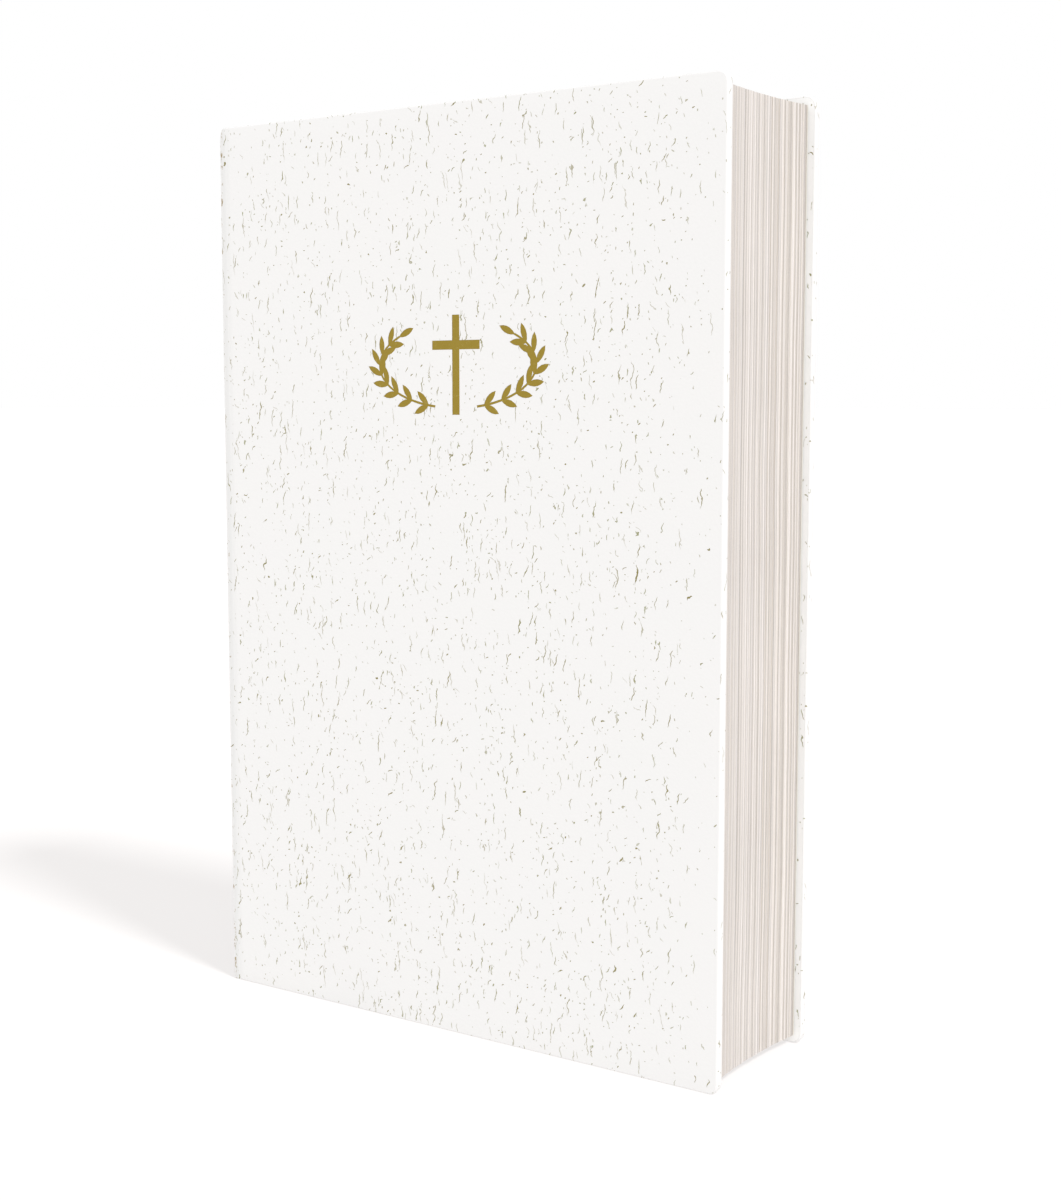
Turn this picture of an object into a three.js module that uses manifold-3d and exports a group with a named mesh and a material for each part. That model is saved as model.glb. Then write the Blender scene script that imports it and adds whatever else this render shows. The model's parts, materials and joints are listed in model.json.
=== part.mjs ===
// A thick bible bound in a white leatherette case, standing on its tail.
//
// +Z runs up the spine from tail to head, +X from the spine to the fore edge, and the front cover
// faces -Y. The origin is the middle of the book's footprint, on the surface that it stands on.
// All lengths are in millimetres.
//
// The case is two board covers and a card-lined spine, wrapped in leatherette that is turned in over
// their edges. The text block is sewn signatures, slightly rounded at the spine, so that the fore edge
// is slightly hollow. Mull, a kraft lining and two endbands are glued over the folds, and the mull's
// flaps and the endpapers hold the block in the case.
import * as THREE from "three";
import { mergeVertices } from "three/addons/utils/BufferGeometryUtils.js";
import Module from "manifold-3d";

// ---- Driving dimensions -------------------------------------------------------------------------

const HEIGHT = 210; // of the case, tail to head
const WIDTH = 141; // of the case, spine to fore edge
const THICKNESS = 40.6; // over both covers
const FIT = 0.05; // between glued layers

// Layers of a cover, from its outer face inwards.
const LEATHERETTE = 0.5;
const BOARD = 1.2;
const TURN_IN = 0.4; // the leatherette again, pressed thinner where it is turned in
const PASTEDOWN = 0.15;
const MULL = 0.18;
const FLYLEAF = 0.15;
const LEAF_GAP = 0.1; // beside a free leaf

const TURN_IN_WIDTH = 14;
const CORNER_RADIUS = 3; // of the covers, seen from the front
const EDGE_ROUND = 0.6; // of the covers, in section
const PAPER_INSET = 3; // from a pastedown's edge to the cover's edge

// The joint, where a cover bends away from the spine.
const JOINT_WIDTH = 4; // from the spine's crown to the crease
const CREASE_GAP = 0.2; // on each side of the crease
const SHOULDER_RADIUS = 1.6; // of the spine's two long edges

// The text block.
const SIGNATURES = 25;
const SQUARE = 2; // how far the case stands past the pages at head and tail
const FORE_SQUARE = 1.6; // and at the fore edge
const ROUNDING = 1; // how far the middle fold stands past the outer ones

// Layers over the folds, as distances outside the folds' line: [inner, outer].
const THREAD_LAYER = [0.05, 0.35];
const MULL_LAYER = [0.4, 0.58];
const KRAFT_LAYER = [0.65, 0.85];
const SPINE_TURN_IN_LAYER = [1, 1.3];
const INLAY_LAYER = [1.35, 1.9];
const SPINE_SKIN_LAYER = [1.95, 2.45];

const MULL_END = 12; // from the mull's end to the case's end
const MULL_FLAP = 20; // width of a flap on a cover
const ENDBAND_TAPE = 9; // height of the tape below an endband's bead
const BEAD_RADIUS = 0.65;
const SEWING_STATIONS = 5;
const THREAD_WIDTH = 0.6;

// The foil stamping: a cross between two sprigs on the front, and a small cross on the spine.
const FOIL = 0.1;
const FOIL_SINK = 0.07; // below the leatherette round it
const RECESS = FOIL_SINK + FOIL + FIT;
const ABOVE = 1; // that a cutting body stands clear of the face
const EMBLEM_WIDTH = 48;
const EMBLEM_HEIGHT = 22;
const EMBLEM_CENTRE = [2.5, 152.8]; // across the front cover, and above the tail
const CROSS_STROKE = 2;
const CROSS_ARM = 0.3; // half its span, as a share of its height
const CROSSING = 0.2; // above its middle, as a share of its height
const SPRIG_STEM = 0.5;
const SPRIG_START = -1.3; // radians round the oval, from its right end
const SPRIG_END = 0.75;
const SPRIG_STEPS = 24;
const SPRIG_LEAVES = 8; // pairs
const LEAF_LENGTH = 4.4;
const LEAF_WIDTH = 1.5;
const LEAF_SPREAD = 0.62; // radians off the stem
const SPINE_CROSS_HEIGHT = 11;
const SPINE_CROSS_STROKE = 1.4;

const ARC_STEPS = 14; // straight pieces in the spine's round

// ---- Derived places -----------------------------------------------------------------------------

const HALF_WIDTH = WIDTH / 2;
const HALF_THICKNESS = THICKNESS / 2;
const SKIN_PANEL = LEATHERETTE + BOARD + TURN_IN + 2 * FIT; // thickness of a wrapped cover
const COVER = SKIN_PANEL + FIT + PASTEDOWN;
const BLOCK_HALF = HALF_THICKNESS - COVER - FLYLEAF - 2 * LEAF_GAP;
const PITCH = (2 * BLOCK_HALF) / SIGNATURES;
const JOINT_X = -HALF_WIDTH + JOINT_WIDTH;
const PAGE_HEIGHT = HEIGHT - 2 * SQUARE;
const FOLD_X = -HALF_WIDTH + SPINE_SKIN_LAYER[1] + ROUNDING; // fold of the outermost signatures
const LEAF_REACH = HALF_WIDTH - FORE_SQUARE - FOLD_X; // fold to fore edge
const ROUND_RADIUS = (BLOCK_HALF ** 2 + ROUNDING ** 2) / (2 * ROUNDING);
const ROUND_CENTRE_X = FOLD_X - ROUNDING + ROUND_RADIUS;

// ---- Materials ----------------------------------------------------------------------------------

const finish = (color, roughness, metalness = 0) =>
  new THREE.MeshStandardMaterial({ color, roughness, metalness });
const leatherette = finish(0xf6f6f4, 0.5);
const greyboard = finish(0x9d978c, 0.9);
const endpaper = finish(0xfbfaf6, 0.8);
const paper = finish(0xe5ddd6, 0.9);
const mullCloth = finish(0xe9e4d6, 0.95);
const kraft = finish(0xb99a6b, 0.9);
const linen = finish(0xf1ecdf, 0.8);
const foil = finish(0x9b8636, 0.35, 1);

// ---- Helpers ------------------------------------------------------------------------------------

const manifold = await Module();
manifold.setup();

function toSolid(geometry) {
  const bare = geometry.clone();
  bare.deleteAttribute("normal");
  bare.deleteAttribute("uv");
  const merged = mergeVertices(bare, 1e-4);
  return new manifold.Manifold(
    new manifold.Mesh({
      numProp: 3,
      vertProperties: merged.attributes.position.array,
      triVerts: new Uint32Array(merged.index.array),
    }),
  );
}

function toGeometry(solid) {
  const { vertProperties, triVerts } = solid.getMesh();
  const geometry = new THREE.BufferGeometry();
  geometry.setAttribute("position", new THREE.BufferAttribute(vertProperties, 3));
  geometry.setIndex(new THREE.BufferAttribute(triVerts, 1));
  geometry.computeVertexNormals();
  return geometry;
}

const joined = (geometries) =>
  toGeometry(geometries.map(toSolid).reduce((all, one) => all.add(one)));

function part(name, geometry, material) {
  const mesh = new THREE.Mesh(geometry, material);
  mesh.name = name;
  return mesh;
}

// A shape drawn in the plan of the book, raised from z = low to z = high.
function raised(shape, low, high, curveSegments = 6) {
  const options = { depth: high - low, bevelEnabled: false, curveSegments };
  return new THREE.ExtrudeGeometry(shape, options).translate(0, 0, low);
}

// A shape drawn as seen from the front, with its outer face at y = outer, going back by depth.
function panel(shape, outer, depth, round = 0) {
  const options = {
    depth: depth - 2 * round,
    bevelEnabled: round > 0,
    bevelThickness: round,
    bevelSize: round,
    bevelOffset: -round,
    bevelSegments: 2,
    curveSegments: 5,
  };
  return new THREE.ExtrudeGeometry(shape, options)
    .rotateX(Math.PI / 2)
    .translate(0, outer + depth - round, 0);
}

// A rectangle seen from the front, with its two corners on the fore edge rounded.
function sheet(left, right, bottom, top, radius = 0) {
  const shape = new THREE.Shape().moveTo(left, bottom);
  if (radius === 0) {
    return shape.lineTo(right, bottom).lineTo(right, top).lineTo(left, top);
  }
  return shape
    .lineTo(right - radius, bottom)
    .absarc(right - radius, bottom + radius, radius, -Math.PI / 2, 0, false)
    .lineTo(right, top - radius)
    .absarc(right - radius, top - radius, radius, 0, Math.PI / 2, false)
    .lineTo(left, top);
}

// The x of the spine's round at y, a distance outside the folds' line.
const roundAt = (y, outside) =>
  ROUND_CENTRE_X - Math.sqrt((ROUND_RADIUS + outside) ** 2 - y ** 2);

// A strip of constant thickness on the spine's round, as wide as the text block.
function spineStrip([inner, outer], halfWidth, low, high) {
  const across = (i) => -halfWidth + (2 * halfWidth * i) / ARC_STEPS;
  const steps = Array.from({ length: ARC_STEPS + 1 }, (_, i) => across(i));
  const shape = new THREE.Shape([
    ...steps.map((y) => new THREE.Vector2(roundAt(y, outer), y)),
    ...steps.reverse().map((y) => new THREE.Vector2(roundAt(y, inner), y)),
  ]);
  return raised(shape, low, high);
}

// ---- The case -----------------------------------------------------------------------------------

// The leatherette of one cover: a thin slab, hollowed for its board, and open inside the turn-ins and
// at the joint.
function coverLeatherette() {
  const left = JOINT_X + CREASE_GAP;
  const outer = -HALF_THICKNESS;
  const slab = panel(sheet(left, HALF_WIDTH, 0, HEIGHT, CORNER_RADIUS), outer, SKIN_PANEL, EDGE_ROUND);
  const pocketShape = sheet(
    left - 1,
    HALF_WIDTH - LEATHERETTE,
    LEATHERETTE,
    HEIGHT - LEATHERETTE,
    CORNER_RADIUS - LEATHERETTE,
  );
  const pocket = panel(pocketShape, outer + LEATHERETTE, BOARD + 2 * FIT);
  const windowShape = sheet(
    left - 1,
    HALF_WIDTH - TURN_IN_WIDTH,
    TURN_IN_WIDTH,
    HEIGHT - TURN_IN_WIDTH,
  );
  const window = panel(windowShape, outer + LEATHERETTE + BOARD, SKIN_PANEL);
  return toGeometry(toSolid(slab).subtract(toSolid(pocket)).subtract(toSolid(window)));
}

function coverBoard() {
  const inset = LEATHERETTE + FIT;
  const shape = sheet(
    JOINT_X + 2 * CREASE_GAP,
    HALF_WIDTH - inset,
    inset,
    HEIGHT - inset,
    CORNER_RADIUS - inset,
  );
  return panel(shape, -HALF_THICKNESS + inset, BOARD);
}

function mullFlap() {
  const left = JOINT_X + 3 * CREASE_GAP;
  const shape = sheet(left, left + MULL_FLAP, TURN_IN_WIDTH + 1, HEIGHT - TURN_IN_WIDTH - 1);
  return panel(shape, -HALF_THICKNESS + LEATHERETTE + BOARD + 2 * FIT, MULL);
}

function pastedown() {
  const shape = sheet(
    JOINT_X + CREASE_GAP,
    HALF_WIDTH - PAPER_INSET,
    PAPER_INSET,
    HEIGHT - PAPER_INSET,
  );
  return panel(shape, -HALF_THICKNESS + SKIN_PANEL + FIT, PASTEDOWN);
}

function flyleaf() {
  const shape = sheet(FOLD_X, FOLD_X + LEAF_REACH, SQUARE, SQUARE + PAGE_HEIGHT);
  return panel(shape, -HALF_THICKNESS + COVER + LEAF_GAP, FLYLEAF);
}

// One cover with its endpapers, built as the front one.
function cover(side, recesses) {
  const group = new THREE.Group();
  const leather = stampedInto(coverLeatherette(), recesses);
  group.add(
    part(`${side}_cover_leatherette`, leather, leatherette),
    part(`${side}_cover_board`, coverBoard(), greyboard),
    part(`${side}_mull_flap`, mullFlap(), mullCloth),
    part(`${side}_pastedown`, pastedown(), endpaper),
    part(`${side}_flyleaf`, flyleaf(), endpaper),
  );
  return group;
}

// The case spine's section between two depths below its outer surface: a shallow round, a shoulder at
// each long edge and a short flat up to each crease.
function spineSection(outerDepth, innerDepth) {
  const reach = ROUND_RADIUS + SPINE_SKIN_LAYER[1];
  const shoulderY = -HALF_THICKNESS + SHOULDER_RADIUS;
  const shoulderX = ROUND_CENTRE_X - Math.sqrt((reach - SHOULDER_RADIUS) ** 2 - shoulderY ** 2);
  const turn = Math.atan2(shoulderY, shoulderX - ROUND_CENTRE_X);
  const end = JOINT_X - CREASE_GAP;
  const outline = (depth) => {
    const side = HALF_THICKNESS - depth;
    const shoulder = SHOULDER_RADIUS - depth;
    return new THREE.Path()
      .moveTo(end, -side)
      .absarc(shoulderX, shoulderY, shoulder, -Math.PI / 2, turn, true)
      .absarc(ROUND_CENTRE_X, 0, reach - depth, turn, -turn, true)
      .absarc(shoulderX, -shoulderY, shoulder, -turn, Math.PI / 2, true)
      .lineTo(end, side)
      .getPoints(ARC_STEPS);
  };
  return new THREE.Shape([...outline(outerDepth), ...outline(innerDepth).reverse()]);
}

function spineLeatherette() {
  const outside = SPINE_SKIN_LAYER[1];
  const turnIn = SPINE_TURN_IN_LAYER.map((layer) => outside - layer);
  const skin = raised(spineSection(0, LEATHERETTE), 0, HEIGHT);
  const ends = [0, HEIGHT - LEATHERETTE].map((low) =>
    raised(spineSection(0, turnIn[0]), low, low + LEATHERETTE),
  );
  const lips = [0, HEIGHT - TURN_IN_WIDTH].map((low) =>
    raised(spineSection(turnIn[1], turnIn[0]), low, low + TURN_IN_WIDTH),
  );
  return stampedInto(joined([skin, ...ends, ...lips]), [spineRecess()]);
}

function spineInlay() {
  const inset = LEATHERETTE + FIT;
  return spineStrip(INLAY_LAYER, BLOCK_HALF - 1, inset, HEIGHT - inset);
}

// ---- The text block -----------------------------------------------------------------------------

// A folded signature, with a round fold at the spine.
function signature(y) {
  const fold = PITCH / 2 - FIT / 2;
  const foldX = roundAt(y, 0);
  const shape = new THREE.Shape()
    .moveTo(foldX + LEAF_REACH, y - fold)
    .lineTo(foldX + LEAF_REACH, y + fold)
    .absarc(foldX + fold, y, fold, Math.PI / 2, (3 * Math.PI) / 2, false);
  return raised(shape, SQUARE, SQUARE + PAGE_HEIGHT);
}

// A bead over the end of the folds, on a tape that is glued down the spine.
function endband(atHead) {
  const flip = (z) => (atHead ? HEIGHT - z : z);
  const beadZ = SQUARE - FIT - BEAD_RADIUS;
  const points = Array.from({ length: ARC_STEPS + 1 }, (_, i) => {
    const y = BLOCK_HALF * ((2 * i) / ARC_STEPS - 1);
    return new THREE.Vector3(roundAt(y, -BEAD_RADIUS / 2), y, flip(beadZ));
  });
  const section = new THREE.Shape().absarc(0, 0, BEAD_RADIUS, 0, 2 * Math.PI, false);
  const bead = new THREE.ExtrudeGeometry(section, {
    steps: ARC_STEPS,
    curveSegments: 8,
    extrudePath: new THREE.CatmullRomCurve3(points),
  });
  const [low, high] = [flip(beadZ), flip(SQUARE + ENDBAND_TAPE)].sort((a, b) => a - b);
  return joined([bead, spineStrip(THREAD_LAYER, BLOCK_HALF, low, high)]);
}

function textBlock() {
  const group = new THREE.Group();
  for (let i = 0; i < SIGNATURES; i += 1) {
    const y = -BLOCK_HALF + PITCH * (i + 0.5);
    group.add(part(`signature_${String(i + 1).padStart(2, "0")}`, signature(y), paper));
  }
  const mull = spineStrip(MULL_LAYER, BLOCK_HALF, MULL_END, HEIGHT - MULL_END);
  const lining = spineStrip(KRAFT_LAYER, BLOCK_HALF, SQUARE, SQUARE + PAGE_HEIGHT);
  group.add(
    part("spine_mull", mull, mullCloth),
    part("spine_kraft_lining", lining, kraft),
    part("headband", endband(true), linen),
    part("tailband", endband(false), linen),
  );
  const first = SQUARE + 2 * ENDBAND_TAPE;
  const spacing = (HEIGHT - 2 * first) / (SEWING_STATIONS - 1);
  for (let i = 0; i < SEWING_STATIONS; i += 1) {
    const low = first + spacing * i - THREAD_WIDTH / 2;
    const thread = spineStrip(THREAD_LAYER, BLOCK_HALF, low, low + THREAD_WIDTH);
    group.add(part(`sewing_thread_${i + 1}`, thread, linen));
  }
  return group;
}

// ---- The foil stamping --------------------------------------------------------------------------

// A Latin cross about the origin, widened all round by grow.
function crossShape(height, stroke, grow) {
  const half = stroke / 2 + grow;
  const top = height / 2 + grow;
  const arm = height * CROSS_ARM + grow;
  const crossing = height * CROSSING;
  return new THREE.Shape(
    [
      [-half, -top],
      [half, -top],
      [half, crossing - half],
      [arm, crossing - half],
      [arm, crossing + half],
      [half, crossing + half],
      [half, top],
      [-half, top],
      [-half, crossing + half],
      [-arm, crossing + half],
      [-arm, crossing - half],
      [-half, crossing - half],
    ].map(([x, y]) => new THREE.Vector2(x, y)),
  );
}

// A pointed leaf that grows from a root along an angle, on the side of the cross given by side.
function leafShape(side, root, angle, grow) {
  const base = -SPRIG_STEM / 2 - grow;
  const tip = LEAF_LENGTH + 2 * grow;
  const bow = LEAF_WIDTH + 2 * grow;
  const at = (along, across) => [
    side * (root.x + along * Math.cos(angle) - across * Math.sin(angle)),
    root.y + along * Math.sin(angle) + across * Math.cos(angle),
  ];
  return new THREE.Shape()
    .moveTo(...at(base, 0))
    .quadraticCurveTo(...at(tip / 2, bow), ...at(tip, 0))
    .quadraticCurveTo(...at(tip / 2, -bow), ...at(base, 0));
}

// One sprig of an open wreath beside the cross: leaf pairs up an oval stem.
function sprigShapes(side, grow) {
  const a = EMBLEM_WIDTH / 2 - LEAF_LENGTH / 2;
  const b = EMBLEM_HEIGHT / 2 - LEAF_LENGTH / 3;
  const stemPoint = (t, outside) => {
    const turn = SPRIG_START + (SPRIG_END - SPRIG_START) * t;
    return new THREE.Vector2((a + outside) * Math.cos(turn), (b + outside) * Math.sin(turn));
  };
  const reach = SPRIG_STEM / 2 + grow;
  const steps = Array.from({ length: SPRIG_STEPS + 1 }, (_, i) => i / SPRIG_STEPS);
  const edge = (t, outside) => stemPoint(t, outside).multiply(new THREE.Vector2(side, 1));
  const stem = new THREE.Shape([
    ...steps.map((t) => edge(t, reach)),
    ...steps.reverse().map((t) => edge(t, -reach)),
  ]);
  const leaves = [];
  for (let i = 0; i <= SPRIG_LEAVES; i += 1) {
    const t = (i + 0.4) / (SPRIG_LEAVES + 0.4);
    const root = stemPoint(t, 0);
    const ahead = stemPoint(t + 0.01, 0);
    const along = Math.atan2(ahead.y - root.y, ahead.x - root.x);
    const spreads = i === SPRIG_LEAVES ? [0] : [-LEAF_SPREAD, LEAF_SPREAD];
    spreads.forEach((spread) => leaves.push(leafShape(side, root, along + spread, grow)));
  }
  return [stem, ...leaves];
}

// The outlines of each piece of foil on the front, widened by grow.
const frontOutlines = (grow) => ({
  foil_cross: [crossShape(EMBLEM_HEIGHT, CROSS_STROKE, grow)],
  foil_sprig_left: sprigShapes(-1, grow),
  foil_sprig_right: sprigShapes(1, grow),
});

// Outlines as one thin body on the front cover, from a depth below its face.
const onFront = (shapes, sink, depth) =>
  joined(shapes.map((shape) => panel(shape, sink, depth))).translate(
    EMBLEM_CENTRE[0],
    -HALF_THICKNESS,
    EMBLEM_CENTRE[1],
  );

// The small cross as a thin body on the spine, from a depth below its crown.
const onSpine = (grow, sink, depth) =>
  panel(crossShape(SPINE_CROSS_HEIGHT, SPINE_CROSS_STROKE, grow), sink, depth)
    .rotateZ(-Math.PI / 2)
    .translate(-HALF_WIDTH, 0, EMBLEM_CENTRE[1]);

// The foil fills shallow recesses that its stamp leaves in the leatherette.
function stampedInto(leather, recesses) {
  const cut = (solid, recess) => solid.subtract(toSolid(recess));
  return toGeometry(recesses.reduce(cut, toSolid(leather)));
}

function frontRecesses() {
  const outlines = Object.values(frontOutlines(FIT));
  return outlines.map((shapes) => onFront(shapes, -ABOVE, ABOVE + RECESS));
}

const spineRecess = () => onSpine(FIT, -ABOVE, ABOVE + RECESS);

function foilStamping() {
  const group = new THREE.Group();
  for (const [name, shapes] of Object.entries(frontOutlines(0))) {
    group.add(part(name, onFront(shapes, FOIL_SINK, FOIL), foil));
  }
  group.add(part("foil_spine_cross", onSpine(0, FOIL_SINK, FOIL), foil));
  return group;
}

// ---- The book -----------------------------------------------------------------------------------

const book = new THREE.Group();
const backCover = cover("back", []);
backCover.scale.y = -1;
book.add(
  cover("front", frontRecesses()),
  backCover,
  part("spine_leatherette", spineLeatherette(), leatherette),
  part("spine_inlay", spineInlay(), greyboard),
  textBlock(),
  foilStamping(),
);

export default book;
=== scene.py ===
"""Looks for a thick bible in a white leatherette case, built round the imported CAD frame.

In this frame +Z runs up the spine from tail to head, +X from the spine to the fore edge, and the front
cover faces -Y. Shape functions work in millimetres, and mesh_piece turns them into metres. Everything
that has a front and a back is drawn for the front, and mirrored in Y for the back.
"""

import json
import math
import random

import bmesh
import bpy
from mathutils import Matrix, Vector


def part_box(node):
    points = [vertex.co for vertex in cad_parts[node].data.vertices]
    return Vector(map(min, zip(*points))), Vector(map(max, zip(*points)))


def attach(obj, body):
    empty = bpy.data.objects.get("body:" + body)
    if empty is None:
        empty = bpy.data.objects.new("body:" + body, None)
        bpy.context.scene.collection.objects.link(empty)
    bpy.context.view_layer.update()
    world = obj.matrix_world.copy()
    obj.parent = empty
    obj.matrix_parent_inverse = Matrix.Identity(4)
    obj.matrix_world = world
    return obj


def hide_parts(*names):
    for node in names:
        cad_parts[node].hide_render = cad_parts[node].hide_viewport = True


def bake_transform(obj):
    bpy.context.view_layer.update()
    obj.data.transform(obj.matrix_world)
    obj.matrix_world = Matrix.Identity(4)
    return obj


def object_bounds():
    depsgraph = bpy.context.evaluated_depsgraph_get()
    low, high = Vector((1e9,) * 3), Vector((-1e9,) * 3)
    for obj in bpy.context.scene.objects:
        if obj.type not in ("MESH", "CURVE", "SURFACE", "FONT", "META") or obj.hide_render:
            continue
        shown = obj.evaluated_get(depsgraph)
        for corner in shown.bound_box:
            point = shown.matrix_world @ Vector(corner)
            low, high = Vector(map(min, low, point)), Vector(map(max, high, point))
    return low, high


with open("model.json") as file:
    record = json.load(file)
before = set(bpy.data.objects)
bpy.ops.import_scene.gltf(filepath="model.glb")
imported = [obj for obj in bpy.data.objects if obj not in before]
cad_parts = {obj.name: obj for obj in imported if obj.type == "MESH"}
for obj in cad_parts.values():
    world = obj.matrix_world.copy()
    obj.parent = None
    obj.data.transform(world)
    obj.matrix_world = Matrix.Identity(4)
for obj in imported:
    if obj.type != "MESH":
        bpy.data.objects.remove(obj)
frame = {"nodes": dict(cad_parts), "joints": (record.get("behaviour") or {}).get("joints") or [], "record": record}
CAD_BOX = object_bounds()

MM = 0.001
SIDES = {"front": 1, "back": -1}  # the sign that turns a front shape into this side's shape

# ---- Places read from the frame, in millimetres ---------------------------------------------------


def box_mm(node):
    """A CAD node's lowest and highest corner."""
    low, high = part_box(node)
    return low / MM, high / MM


CASE_LOW, CASE_HIGH = CAD_BOX[0] / MM, CAD_BOX[1] / MM
HEIGHT = CASE_HIGH.z
FORE_X = CASE_HIGH.x
SPINE_X = CASE_LOW.x
HALF_T = CASE_HIGH.y
JOINT_X = next(j["pos_m"][0] for j in frame["joints"] if j["name"] == "front_cover_hinge") / MM
SIGNATURE_NODES = sorted(n for n in frame["nodes"] if n.startswith("signature_"))
SIGNATURES = len(SIGNATURE_NODES)
MIDDLE = SIGNATURES // 2
FIRST_SIGNATURE = box_mm(SIGNATURE_NODES[0])
MIDDLE_SIGNATURE = box_mm(SIGNATURE_NODES[MIDDLE])
BLOCK_LOW, BLOCK_HIGH = FIRST_SIGNATURE[0].z, FIRST_SIGNATURE[1].z
PITCH = box_mm(SIGNATURE_NODES[1])[0].y - FIRST_SIGNATURE[0].y
BLOCK_HALF = PITCH * SIGNATURES / 2
ROUNDING = FIRST_SIGNATURE[0].x - MIDDLE_SIGNATURE[0].x
ROUND_RADIUS = (BLOCK_HALF**2 + ROUNDING**2) / (2 * ROUNDING)
ROUND_CENTRE_X = MIDDLE_SIGNATURE[0].x + ROUND_RADIUS

# ---- Dimensions that only the looks use, in millimetres --------------------------------------------

CORNER_R = 2.3  # of the covers, seen from the front
EDGE_R = 0.4  # of the covers, in section
COVER_T = 2.2
JOINT_T = 1.0  # of the leatherette and its turn-in at the joint
SPINE_T = 1.45  # of the spine wall, from the skin to the turned-in lip
SKIN_T = 0.34
TURN_IN = 14.0
SEAM_X = JOINT_X - 1.0  # where the covers' skins meet the spine's
CREASE_DEPTH = 0.1
CREASE_WIDTH = 0.55
SHOULDER_R = 1.6
SHOULDER_RUN = 0.8  # from a seam to the front of its shoulder, over the skin
CAP_DIP = 3.7  # how far the head of the spine drops at its two corners
CAP_REST = 0.8  # and in the middle
CAP_RUN = 2.7
CAP_RISE = 8.0
INSIDE_U = 1000.0  # where the covers' inner faces lie on the flat leatherette, away from the outer ones
ARC_TURNS = (78, 52, 26, 0, 0, -26, -52, -78)  # degrees round a turned edge
SHEETS = 10  # in a signature
LEAF_T = 0.058
TRIM_ERROR = 0.05  # of a sheet's edges
SIGNATURE_ERROR = 0.14  # of a whole signature's fore edge
PASTED_T = 0.14
FLYLEAF_T = 0.11
WINDOW_SINK = 0.36  # how far a pastedown sinks inside the turn-ins
FLAP_RISE = 0.12  # and how much less over the mull's flap
BEAD_R = 0.56  # of an endband's core
BEAD_TURN = 0.42  # from one turn of its thread to the next
THREAD_R = 0.11
FOIL_GAP = 0.03  # round and under a piece of foil

# Layers on the block's back and in the case spine: how far their two faces lie outside the folds.
TAPE_LAYER = (0.05, 0.35)
MULL_LAYER = (0.4, 0.58)
KRAFT_LAYER = (0.65, 0.85)
INLAY_LAYER = (1.36, 1.9)

# Sizes of crack in the leatherette: cell, half length, half width, most tilt in degrees, share of cells.
CRACK_LAYERS = (
    ((1.4, 1.8), 0.32, 0.125, 70, 0.48),
    ((3.2, 3.0), 1.0, 0.11, 55, 0.42),
    ((2.6, 5.0), 1.6, 0.115, 16, 0.5),
    ((3.3, 8.6), 2.7, 0.12, 11, 0.5),
)

# The print on a page: from the middle to a column's middle, half widths, and the pitch of its lines.
COLUMN_MIDDLE = 29
COLUMN_HALF = 26.5
PRINT_HALF = 90
LINE_PITCH = 2.5

# Bands of leaf lines on the block's trimmed edges, and ridge bands whose dark sides are painted shade.
LEAF_BAND = 0.36
RIDGE_BAND = 1.1


def round_x(y, outside):
    """The x of the block's rounded back at y, a distance outside the folds."""
    return ROUND_CENTRE_X - math.sqrt((ROUND_RADIUS + outside) ** 2 - y * y)


def smooth(t):
    t = min(1.0, max(0.0, t))
    return t * t * (3 - 2 * t)


def spread(low, high, step):
    """Even values from low to high, no further than step apart."""
    count = max(1, math.ceil((high - low) / step))
    return [low + (high - low) * i / count for i in range(count + 1)]


# ---- Meshes ----------------------------------------------------------------------------------------


def mesh_piece(name, vertices, faces, material, uvs=None, sharp=40):
    """An object from vertices in millimetres. uvs gives each face's corners, also in millimetres."""
    mesh = bpy.data.meshes.new(name)
    mesh.from_pydata([[c * MM for c in v] for v in vertices], [], faces)
    if uvs:
        layer = mesh.uv_layers.new(name="Skin")
        corners = [c for face in uvs for corner in face for c in corner]
        layer.data.foreach_set("uv", corners)
    mesh.shade_smooth()
    mesh.set_sharp_from_angle(angle=math.radians(sharp))
    mesh.materials.append(material)
    piece = bpy.data.objects.new(name, mesh)
    bpy.context.scene.collection.objects.link(piece)
    return piece


def mirrored(vertices, faces, uvs, side):
    """The same shape for the back: y and each face's order turned over."""
    if side > 0:
        return vertices, faces, uvs
    turned = [(x, -y, z) for x, y, z in vertices]
    return turned, [f[::-1] for f in faces], uvs and [corners[::-1] for corners in uvs]


def apply_modifier(piece, kind, **settings):
    modifier = piece.modifiers.new(kind, kind)
    for key, value in settings.items():
        setattr(modifier, key, value)
    evaluated = piece.evaluated_get(bpy.context.evaluated_depsgraph_get())
    mesh = bpy.data.meshes.new_from_object(evaluated)
    piece.modifiers.clear()
    piece.data = mesh
    mesh.shade_smooth()
    mesh.set_sharp_from_angle(angle=math.radians(40))


def edge_arc(half, radius):
    """Round a turned edge, from the outer face to the inner: (depth below the face, reach past the core)."""
    points = []
    for i, turn in enumerate(ARC_TURNS):
        flat = half - radius
        side = -flat if i < len(ARC_TURNS) / 2 else flat
        angle = math.radians(turn)
        points.append((half + side - radius * math.sin(angle), radius * math.cos(angle)))
    return points


# ---- The case --------------------------------------------------------------------------------------


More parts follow.
